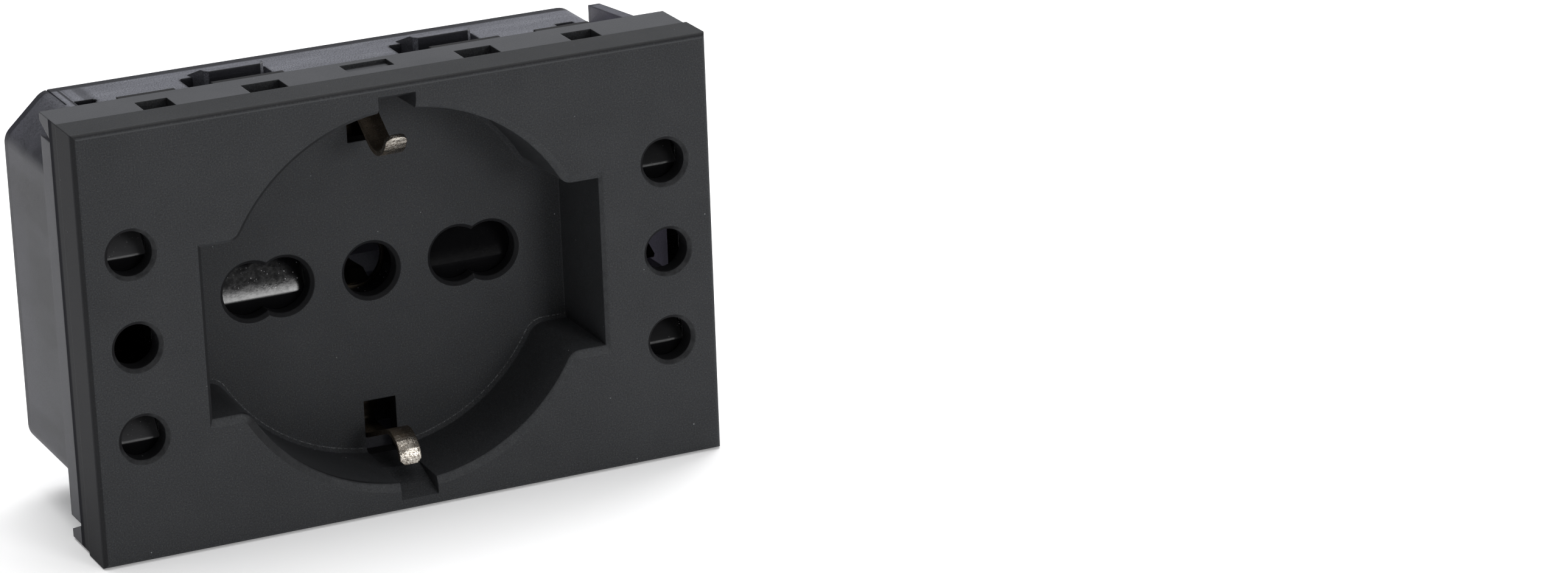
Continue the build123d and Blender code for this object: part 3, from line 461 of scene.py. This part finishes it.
# Metals: what all have unless their own values say otherwise, and then each one's own
metalLook = {
    "lines": (0.2 * mm, 4, 0.7), "lineStretch": (0.25, 1, 1), "lineBump": (0.006 * mm, 0.8),
    "patch": (1.1 * mm, 5, 0.7), "pits": (0.2 * mm, 3, 0.7),
    "cloudy": (0.3, 0.7), "stained": (0.42, 0.68), "stainRough": 0.26,
    "edge": 0.09 * mm, "bare": (0.42, 0.58, 0.9), "round": 0.12 * mm,
}
metalLooks = {
    "nickelPlate": {"dark": (0.42, 0.385, 0.34, 1), "light": (0.74, 0.70, 0.63, 1), "rough": (0.07, 0.18),
                    "tarnish": (0.075, 0.058, 0.044, 1), "share": 0.97,
                    "pitBump": (0.030 * mm, 0.9), "lineBump": (0.016 * mm, 0.8),
                    "ragged": (-1.2 * mm, 1.2 * mm, 0.3, 0.7), "depthDarkening": (0.06, 1.0, 0.9 * mm, 4.4 * mm),
                    "darkPits": (0.40, 0.52, 0.85), "brightPits": (0.56, 0.68, 0.75),
                    "streak": -1.3 * mm, "streakEdge": (0.5 * mm, 0.9 * mm, 0.5),
                    "streakWear": (0.3, 1.0, 0.4, 0.6),
                    "deepShade": (0.008, 0.007, 0.006, 1), "deepShadeFrom": (11.0 * mm, 11.5 * mm, 0.9),
                    "crown": -75.0, "wave": (0.8 * mm, 1, 0.5),
                    "waveStretch": (0.22, 1, 1), "waveBump": (0.13 * mm, 0.9),
                    "bronzeReflection": (0.085, 0.068, 0.050, 1), "bronzeReflectionShare": (0.62, 0.15, -0.5 * mm, 0.3 * mm)},
    "contactBrass": {"dark": (0.15, 0.115, 0.07, 1), "light": (0.32, 0.255, 0.155, 1),
                     "rough": (0.22, 0.42), "tarnish": (0.014, 0.011, 0.009, 1), "share": 0.5,
                     "pitBump": (0.006 * mm, 0.9),
                     "shadeFacing": (-0.9, -0.5, 0.97), "shadeUntil": (18 * mm, 22 * mm, 0.97)},
    "springSteel": {"dark": (0.4, 0.4, 0.41, 1), "light": (0.62, 0.62, 0.63, 1), "rough": (0.2, 0.36),
                    "tarnish": (0.18, 0.17, 0.16, 1), "share": 0.3, "pitBump": (0.004 * mm, 0.9)},
    "clampSteel": {"dark": (0.46, 0.46, 0.44, 1), "light": (0.7, 0.7, 0.68, 1), "rough": (0.26, 0.44),
                   "tarnish": (0.3, 0.28, 0.22, 1), "share": 0.4, "pitBump": (0.006 * mm, 0.9)},
    "screwSteel": {"dark": (0.5, 0.5, 0.48, 1), "light": (0.74, 0.74, 0.71, 1), "rough": (0.2, 0.38),
                   "tarnish": (0.3, 0.27, 0.2, 1), "share": 0.35, "pitBump": (0.004 * mm, 0.9)},
}


def platedMetal(name):
    look = {**metalLook, **metalLooks[name]}
    f = Finish(name)
    across, depth = f.place()[:2]
    lines = f.noise(*look["lines"], f.stretched(look["lineStretch"]))
    patch = f.noise(*look["patch"])
    pits = f.noise(*look["pits"])
    base = f.mix(f.rise(lines, *look["cloudy"]), look["dark"], look["light"])
    if "depthDarkening" in look:
        # the clips darken from their front towards the back, with dark and bright pits
        ragged = f.sum(depth, f.spread(patch, *look["ragged"]))
        stainAndShade = f.times(f.spread(ragged, *look["depthDarkening"]), look["share"])
        stainAndShade = f.either(stainAndShade, f.fall(pits, *look["darkPits"]))
        stainAndShade = f.either(f.less(stainAndShade, f.rise(pits, *look["brightPits"])), 0.0)
    else:
        stainAndShade = f.times(f.rise(patch, *look["stained"]), look["share"])
    if "shadeFacing" in look:
        # painted shade: what faces the pin holes or lies close behind them is darkened to the tarnish
        # colour
        stainAndShade = f.either(stainAndShade, f.fall(f.facing()["Y"], *look["shadeFacing"]),
                         f.fall(depth, *look["shadeUntil"]))
    colour = f.mix(stainAndShade, base, look["tarnish"])
    bare = f.times(f.edges(look["edge"]), f.rise(pits, *look["bare"]))
    colour = f.mix(bare, colour, look["light"])
    if "streak" in look:
        # a worn streak runs along the clips, and their deep parts get painted shade
        streak = f.fall(f.away(across, look["streak"]), *look["streakEdge"])
        colour = f.mix(f.times(streak, f.spread(pits, *look["streakWear"])), colour, look["dark"])
        colour = f.mix(f.rise(depth, *look["deepShadeFrom"]), colour, look["deepShade"])
    rough = f.spread(lines, *look["rough"], *look["cloudy"])
    rough = f.sum(rough, f.times(stainAndShade, look["stainRough"]))
    soft = f.rounded(look["round"])
    if "crown" in look:
        # the strip is rolled slightly round across its width, and it is wavy
        soft = f.bump(f.times(across, across, look["crown"]), soft, 1.0)
        wave = f.noise(*look["wave"], f.stretched(look["waveStretch"]))
        soft = f.bump(wave, soft, *look["waveBump"])
    soft = f.bump(lines, soft, *look["lineBump"])
    normal = f.bump(pits, soft, *look["pitBump"])
    body = f.shine({"Base Color": colour, "Metallic": 1.0, "Roughness": rough, "Normal": normal})
    if "bronzeReflection" in look:
        # painted reflection: a matt bronze layer on the tarnish, thickest on the left half
        share = f.times(stainAndShade, f.spread(across, *look["bronzeReflectionShare"]))
        body = f.blend(share, body, f.matt(look["bronzeReflection"], normal))
    return f.done(body)


finishes = {
    "cover_plastic": coverPlastic(),
    "smoked_plastic": smokedPlastic(),
    "carrier_plastic": innerPlastic("carrierPlastic"),
    "shutter_plastic": innerPlastic("shutterPlastic"),
    "spring_steel": platedMetal("springSteel"),
    "nickel_plate": platedMetal("nickelPlate"),
    "contact_brass": platedMetal("contactBrass"),
    "clamp_steel": platedMetal("clampSteel"),
    "screw_steel": platedMetal("screwSteel"),
}
slotOf = {part["node"]: part["material_slot"] for part in frame["record"]["subparts"]}
for name, node in frame["nodes"].items():
    node.data.materials.clear()
    node.data.materials.append(finishes[slotOf[name]])
print("finishes:", len(finishes), "on", len(frame["nodes"]), "CAD nodes")


# Helpers for the Geometry Nodes trees of the springs and the screws
class Shaper(Tree):
    def __init__(self, name, inputs):
        self.tree = bpy.data.node_groups.new(name, "GeometryNodeTree")
        face = self.tree.interface
        self.sockets = {label: face.new_socket(label, in_out="INPUT", socket_type="NodeSocket" + kind)
                        for label, kind in inputs.items()}
        face.new_socket("Geometry", in_out="OUTPUT", socket_type="NodeSocketGeometry")
        self.given = self.add("NodeGroupInput").outputs

    def spot(self):
        spot = self.add("GeometryNodeInputPosition").outputs[0]
        return self.add("ShaderNodeSeparateXYZ", {0: spot}).outputs

    def vector(self, x, y, z):
        return self.add("ShaderNodeCombineXYZ", {"X": x, "Y": y, "Z": z}).outputs[0]

    def moved(self, geometry, place, turn=(0, 0, 0)):
        return self.add("GeometryNodeTransform", {"Geometry": geometry, "Translation": place,
                                                  "Rotation": turn}).outputs[0]

    def close(self, geometry):
        # realize, give the finish and send to the output
        solid = self.add("GeometryNodeRealizeInstances", {"Geometry": geometry}).outputs[0]
        dressed = self.add("GeometryNodeSetMaterial", {"Geometry": solid, "Material": self.given["Finish"]})
        output = self.add("NodeGroupOutput")
        self.tree.links.new(dressed.outputs[0], output.inputs["Geometry"])
        return self


def grown(name, shaper, values):
    # run the tree on an empty mesh and keep the plain result, faces outwards
    seed = bpy.data.objects.new(name + "Seed", bpy.data.meshes.new(name + "Seed"))
    bpy.context.scene.collection.objects.link(seed)
    modifier = seed.modifiers.new("shape", "NODES")
    modifier.node_group = shaper.tree
    for label, value in values.items():
        modifier[shaper.sockets[label].identifier] = value
    seed.update_tag()
    bpy.context.view_layer.update()
    ready = seed.evaluated_get(bpy.context.evaluated_depsgraph_get())
    mesh = bpy.data.meshes.new_from_object(ready)
    seed.modifiers.remove(modifier)
    bpy.data.objects.remove(seed)
    shell = bmesh.new()
    shell.from_mesh(mesh)
    bmesh.ops.recalc_face_normals(shell, faces=shell.faces)
    shell.to_mesh(mesh)
    shell.free()
    mesh.name = name
    piece = bpy.data.objects.new(name, mesh)
    bpy.context.scene.collection.objects.link(piece)
    return piece


# Return springs: round wire whose end turns lie closer than the middle ones
springLook = {
    "wire": 0.15 * mm, "coil": 0.95 * mm, "rings": 28, "sides": 10, "closing": 0.62,
    "turns": {"central_shutter_spring": 7.0, "left_shutter_spring": 6.0, "right_shutter_spring": 6.0},
    "joint": {"central_shutter_spring": "central_shutter_slide",
              "left_shutter_spring": "left_shutter_slide", "right_shutter_spring": "right_shutter_slide"},
}


def springTree():
    s = Shaper("returnSpring", {"Finish": "Material", "Foot": "Vector", "Length": "Float",
                                "Coil Radius": "Float", "Wire Radius": "Float", "Turns": "Float",
                                "Rings": "Int", "Sides": "Int"})
    given = s.given
    coil = given["Coil Radius"]
    spiral = s.add("GeometryNodeCurveSpiral", {"Resolution": given["Rings"], "Rotations": given["Turns"],
                                               "Start Radius": coil, "End Radius": coil,
                                               "Height": 0.0}).outputs[0]
    along = s.add("GeometryNodeSplineParameter").outputs["Factor"]
    eased = s.spread(along, 0.0, springLook["closing"], how="SMOOTHSTEP")
    climb = s.sum(eased, s.times(along, 1 - springLook["closing"]))
    span = s.less(given["Length"], s.times(given["Wire Radius"], 2.0))
    height = s.sum(s.times(climb, span), given["Wire Radius"])
    spot = s.spot()
    lifted = s.vector(spot["X"], spot["Y"], height)
    path = s.add("GeometryNodeSetPosition", {"Geometry": spiral, "Position": lifted}).outputs[0]
    ring = s.add("GeometryNodeCurvePrimitiveCircle", {"Resolution": given["Sides"],
                                                      "Radius": given["Wire Radius"]}).outputs[0]
    wire = s.add("GeometryNodeCurveToMesh", {"Curve": path, "Profile Curve": ring,
                                             "Fill Caps": True}).outputs[0]
    smooth = s.add("GeometryNodeSetShadeSmooth", {"Geometry": wire, "Shade Smooth": True}).outputs[0]
    return s.close(s.moved(smooth, given["Foot"]))


springShape = springTree()
for nodeName, turns in springLook["turns"].items():
    low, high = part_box(nodeName)
    foot = Vector(((low[0] + high[0]) / 2, (low[1] + high[1]) / 2, low[2]))
    length = high[2] - low[2]
    piece = grown(nodeName + "_wire", springShape, {
        "Finish": finishes["spring_steel"], "Foot": foot, "Length": length,
        "Coil Radius": springLook["coil"], "Wire Radius": springLook["wire"], "Turns": turns,
        "Rings": springLook["rings"], "Sides": springLook["sides"]})
    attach(piece, "socket_body")
    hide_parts(nodeName)
    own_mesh(piece)
print("springs:", len(springLook["turns"]))


# Terminal screws: low domed head with a long and a short slot, and a real 0.6 mm pitch thread
screwLook = {
    "pitch": 0.6 * mm, "crest": 1.75 * mm, "root": 1.42 * mm, "runOut": 0.93, "weld": 0.002 * mm,
    "around": 36, "rowsPerPitch": 6, "head": 3.0 * mm, "headHeight": 2.2 * mm, "headSides": 48,
    "dome": 0.5 * mm, "domeRadius": 2.45 * mm, "slotWidth": 0.8 * mm, "slotDepth": 1.2 * mm,
    "slotLength": 3.0, "crossWidth": 1.12, "crossLength": 3.6 * mm,
}


def screwTree():
    s = Shaper("terminalScrew", {"Finish": "Material", "Seat": "Vector", "Length": "Float",
                                 "Pitch": "Float", "Crest Radius": "Float", "Root Radius": "Float",
                                 "Head Radius": "Float", "Head Height": "Float", "Slot Width": "Float",
                                 "Slot Depth": "Float", "Around": "Int", "Rows": "Int"})
    given = s.given
    # the shank is a grid rolled round the axis, its first and last rows drawn in to close it
    grid = s.add("GeometryNodeMeshGrid", {"Size X": 1.0, "Size Y": 1.0, "Vertices X": given["Around"],
                                          "Vertices Y": given["Rows"]}).outputs[0]
    spot = s.spot()
    turn = s.sum(spot["X"], 0.5)
    row = s.sum(spot["Y"], 0.5)
    step = s.sum(1.0, s.less(given["Rows"], 1.0), "DIVIDE")
    half = s.times(step, 0.5)
    inside = s.times(s.over(row, half), s.under(row, s.less(1.0, half)))
    along = s.spread(row, 0.0, 1.0, step, s.less(1.0, step))
    down = s.times(along, given["Length"])
    phase = s.sum(s.sum(s.sum(down, given["Pitch"], "DIVIDE"), turn), 1.0, "FRACT")
    wave = s.away(s.times(phase, 2.0), 1.0)
    # the thread runs out at the tip
    wave = s.times(wave, s.fall(along, screwLook["runOut"], 1.0))
    radius = s.sum(given["Root Radius"], s.times(wave, s.less(given["Crest Radius"], given["Root Radius"])))
    radius = s.times(radius, inside)
    angle = s.times(turn, 2 * math.pi)
    rolled = s.vector(s.times(radius, s.sum(angle, 0.0, "COSINE")),
                      s.times(radius, s.sum(angle, 0.0, "SINE")), s.times(down, -1.0))
    shank = s.add("GeometryNodeSetPosition", {"Geometry": grid, "Position": rolled}).outputs[0]
    shank = s.add("GeometryNodeMergeByDistance", {"Geometry": shank,
                                                  "Distance": screwLook["weld"]}).outputs[0]
    # head: a disc and a low dome less the two slots
    lowHeight = s.less(given["Head Height"], screwLook["dome"])
    disc = s.add("GeometryNodeMeshCylinder", {"Vertices": screwLook["headSides"],
                                              "Radius": given["Head Radius"],
                                              "Depth": lowHeight}).outputs["Mesh"]
    dome = s.add("GeometryNodeMeshCone", {"Vertices": screwLook["headSides"],
                                          "Radius Top": screwLook["domeRadius"],
                                          "Radius Bottom": given["Head Radius"],
                                          "Depth": screwLook["dome"]}).outputs["Mesh"]
    whole = s.add("GeometryNodeMeshBoolean", operation="UNION", solver="EXACT")
    for solid, level in ((disc, s.times(lowHeight, 0.5)), (dome, lowHeight)):
        s.tree.links.new(s.moved(solid, s.vector(0.0, 0.0, level)), whole.inputs["Mesh 2"])
    cutDepth = s.times(given["Slot Depth"], 2.0)
    wide = s.vector(s.times(given["Head Radius"], screwLook["slotLength"]), given["Slot Width"], cutDepth)
    cross = s.vector(s.times(given["Slot Width"], screwLook["crossWidth"]), screwLook["crossLength"],
                     cutDepth)
    head = s.add("GeometryNodeMeshBoolean", {"Mesh 1": whole.outputs["Mesh"]}, operation="DIFFERENCE",
                 solver="EXACT")
    for size in (wide, cross):
        bar = s.add("GeometryNodeMeshCube", {"Size": size}).outputs["Mesh"]
        s.tree.links.new(s.moved(bar, s.vector(0.0, 0.0, given["Head Height"])), head.inputs["Mesh 2"])
    both = s.add("GeometryNodeJoinGeometry")
    s.tree.links.new(shank, both.inputs[0])
    s.tree.links.new(head.outputs["Mesh"], both.inputs[0])
    return s.close(s.moved(both.outputs[0], given["Seat"], (-math.pi / 2, 0, 0)))


screwShape = screwTree()
for word in ("live", "earth", "neutral"):
    nodeName = word + "_terminal_screw"
    low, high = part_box(nodeName)
    seat = Vector(((low[0] + high[0]) / 2, high[1] - screwLook["headHeight"], (low[2] + high[2]) / 2))
    length = seat.y - low[1]
    rows = round(length / screwLook["pitch"] * screwLook["rowsPerPitch"]) + 3
    piece = grown(nodeName + "_threaded", screwShape, {
        "Finish": finishes["screw_steel"], "Seat": seat, "Length": length, "Pitch": screwLook["pitch"],
        "Crest Radius": screwLook["crest"], "Root Radius": screwLook["root"],
        "Head Radius": screwLook["head"], "Head Height": screwLook["headHeight"],
        "Slot Width": screwLook["slotWidth"], "Slot Depth": screwLook["slotDepth"],
        "Around": screwLook["around"] + 1, "Rows": rows})
    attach(piece, word + "_screw")
    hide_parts(nodeName)
print("screws: 3,", len(piece.data.polygons), "faces each")


# Floor, light and camera
stageLook = {
    "pale": (0.95, 0.95, 0.955, 1), "grey": (0.93, 0.93, 0.935, 1), "cloud": (0.4, 3, 0.5),
    "cloudy": (0.3, 0.7), "rough": 0.85, "specular": 0.1, "glow": 0.22, "size": 2.4, "drop": 0.1 * mm,
}


def floorFinish():
    look = stageLook
    f = Finish("paleFloor")
    colour = f.mix(f.rise(f.noise(*look["cloud"]), *look["cloudy"]), look["pale"], look["grey"])
    return f.done(f.shine({"Base Color": colour, "Roughness": look["rough"],
                           "Specular IOR Level": look["specular"], "Emission Color": (1, 1, 1, 1),
                           "Emission Strength": look["glow"]}))


def makeFloor():
    half = stageLook["size"] / 2
    level = cadBox[0].z - stageLook["drop"]
    corners = [(x * half, y * half, level) for x, y in ((-1, -1), (1, -1), (1, 1), (-1, 1))]
    mesh = bpy.data.meshes.new("floor")
    mesh.from_pydata(corners, [], [(0, 1, 2, 3)])
    floor = bpy.data.objects.new("floor", mesh)
    floor.data.materials.append(floorFinish())
    bpy.context.scene.collection.objects.link(floor)


# Softboxes: place, size and power in watts, all aimed at one point of the socket
softboxes = {
    "topBox": {"place": (0.05, 0.16, 0.66), "size": 0.60, "power": 5.2},
    "frontBox": {"place": (0.31, -0.85, 0.19), "size": 0.27, "power": 2.3},
    "highBox": {"place": (0.05, -0.55, 0.85), "size": 0.40, "power": 1.5},
    "rightBox": {"place": (0.45, 0.30, 0.12), "size": 0.30, "power": 1.5},
}
lightAim = Vector((0, 0.01, 0))
worldGlow = 0.14


def makeLights():
    for name, box in softboxes.items():
        lamp = bpy.data.lights.new(name, "AREA")
        lamp.shape = "SQUARE"
        lamp.size = box["size"]
        lamp.energy = box["power"]
        holder = bpy.data.objects.new(name, lamp)
        holder.location = box["place"]
        holder.rotation_euler = (lightAim - Vector(box["place"])).to_track_quat("-Z", "Y").to_euler()
        bpy.context.scene.collection.objects.link(holder)
    world = bpy.data.worlds.new("studio")
    world.use_nodes = True
    backdrop = world.node_tree.nodes["Background"].inputs
    backdrop["Color"].default_value = (1, 1, 1, 1)
    backdrop["Strength"].default_value = worldGlow
    bpy.context.scene.world = world


# The photographer's camera, 530 mm away, to the left and above
cameraLook = {
    "place": (-178.22 * mm, -469.482 * mm, 170.552 * mm), "turn": (71.1686, 1.8861, -25.7257),
    "lens": 121.19, "sensor": 36.0, "near": 0.01, "far": 10,
}


def makeCamera():
    lens = bpy.data.cameras.new("photoCamera")
    lens.lens = cameraLook["lens"]
    lens.sensor_width = cameraLook["sensor"]
    lens.clip_start = cameraLook["near"]
    lens.clip_end = cameraLook["far"]
    camera = bpy.data.objects.new("photoCamera", lens)
    camera.location = cameraLook["place"]
    camera.rotation_euler = [math.radians(angle) for angle in cameraLook["turn"]]
    bpy.context.scene.collection.objects.link(camera)
    bpy.context.scene.camera = camera


makeFloor()
makeLights()
makeCamera()
bpy.context.scene.view_settings.view_transform = "Standard"
print("stage: floor,", len(softboxes), "softboxes and the camera")
